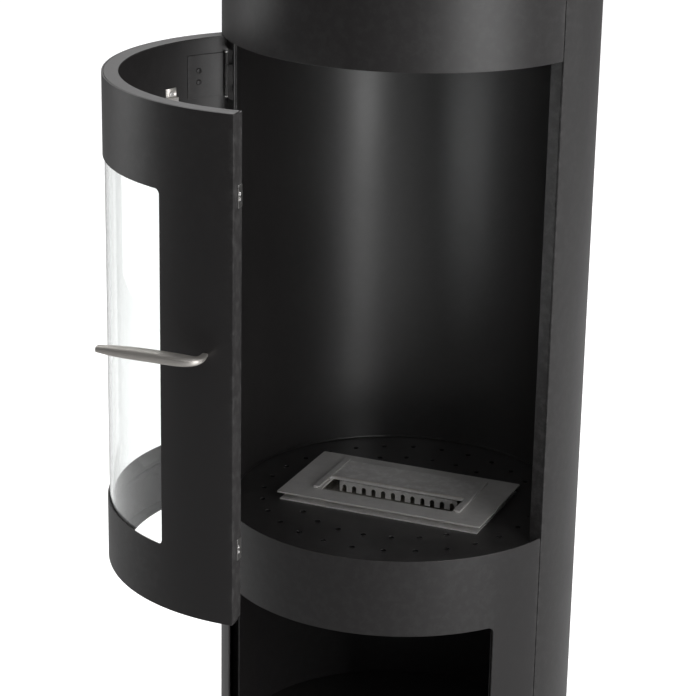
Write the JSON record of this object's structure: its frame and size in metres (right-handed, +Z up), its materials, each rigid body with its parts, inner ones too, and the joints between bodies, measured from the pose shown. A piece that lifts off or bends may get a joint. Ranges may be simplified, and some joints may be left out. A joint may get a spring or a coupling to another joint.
{
  "type": "bioethanol stove",
  "caption": "Tall round free-standing bioethanol stove in black sheet steel, with a curved glazed door standing open, a loose burner with a sliding lid, and an open niche below.",
  "frame": {"origin": "centre of the base plate's underside, on the body's axis, at floor level", "axes": "+Z up, the front with the door opening and the niche faces -Y, +X to the right seen from the front"},
  "size_m": [0.4929, 0.7201, 1.11],
  "materials": {
    "black_powder_coat": "fine satin black powder coat",
    "black_heat_paint": "matt black heat-resistant paint",
    "burner_steel": "dark satin steel, a little worn",
    "brushed_steel": "brushed stainless steel",
    "bright_steel": "bright plated steel",
    "glass": "clear curved ceramic glass",
    "ceramic_wool": "off-white ceramic fibre"
  },
  "bodies": {
    "body": {"base_plate": "black_powder_coat", "firebox_ceiling": "black_heat_paint", "firebox_floor": "black_heat_paint", "firebox_liner": "black_heat_paint", "left_jamb": "black_powder_coat", "lower_bracket_screw_1": "black_powder_coat", "lower_bracket_screw_2": "black_powder_coat", "lower_front_panel": "black_powder_coat", "lower_hinge_bracket": "black_powder_coat", "lower_hinge_pin": "bright_steel", "niche_ceiling": "black_powder_coat", "niche_floor": "black_powder_coat", "niche_liner": "black_powder_coat", "outer_shell": "black_powder_coat", "right_jamb": "black_powder_coat", "top_front_band": "black_powder_coat", "top_plate": "black_powder_coat", "upper_bracket_screw_1": "black_powder_coat", "upper_bracket_screw_2": "black_powder_coat", "upper_hinge_bracket": "black_powder_coat", "upper_hinge_pin": "bright_steel"},
    "door": {"clip_screw_lower_left": "bright_steel", "clip_screw_lower_right": "bright_steel", "clip_screw_upper_left": "bright_steel", "clip_screw_upper_right": "bright_steel", "door_bottom_flange": "black_powder_coat", "door_glass": "glass", "door_hinge_stile": "black_powder_coat", "door_latch_stile": "black_powder_coat", "door_skin": "black_powder_coat", "door_top_flange": "black_powder_coat", "glass_clip_lower_left": "bright_steel", "glass_clip_lower_right": "bright_steel", "glass_clip_upper_left": "bright_steel", "glass_clip_upper_right": "bright_steel", "handle": "brushed_steel", "handle_screw": "bright_steel", "lower_catch_plate": "bright_steel", "lower_hinge_leaf": "black_powder_coat", "lower_leaf_screw_1": "black_powder_coat", "lower_leaf_screw_2": "black_powder_coat", "upper_catch_plate": "bright_steel", "upper_hinge_leaf": "black_powder_coat", "upper_leaf_screw_1": "black_powder_coat", "upper_leaf_screw_2": "black_powder_coat"},
    "burner": {"burner_baffle": "burner_steel", "burner_filler": "ceramic_wool", "burner_guide_left": "burner_steel", "burner_guide_right": "burner_steel", "burner_plate": "burner_steel", "burner_tank": "burner_steel"},
    "slider": {"burner_slider": "burner_steel"}
  },
  "joints": [
    {"name": "door_hinge", "type": "hinge", "parent": "body", "child": "door", "pos_m": [-0.20235, -0.08506, 0.73], "axis": [0, 0, 1], "range_deg": [-33.8, 66.2]},
    {"name": "burner_lift", "type": "slide", "parent": "body", "child": "burner", "axis": [0, 0, 1], "range_m": [0, 0.09]},
    {"name": "lid_slide", "type": "slide", "parent": "burner", "child": "slider", "axis": [-0.0436, -0.999, 0], "range_m": [0, 0.0355]}
  ]
}
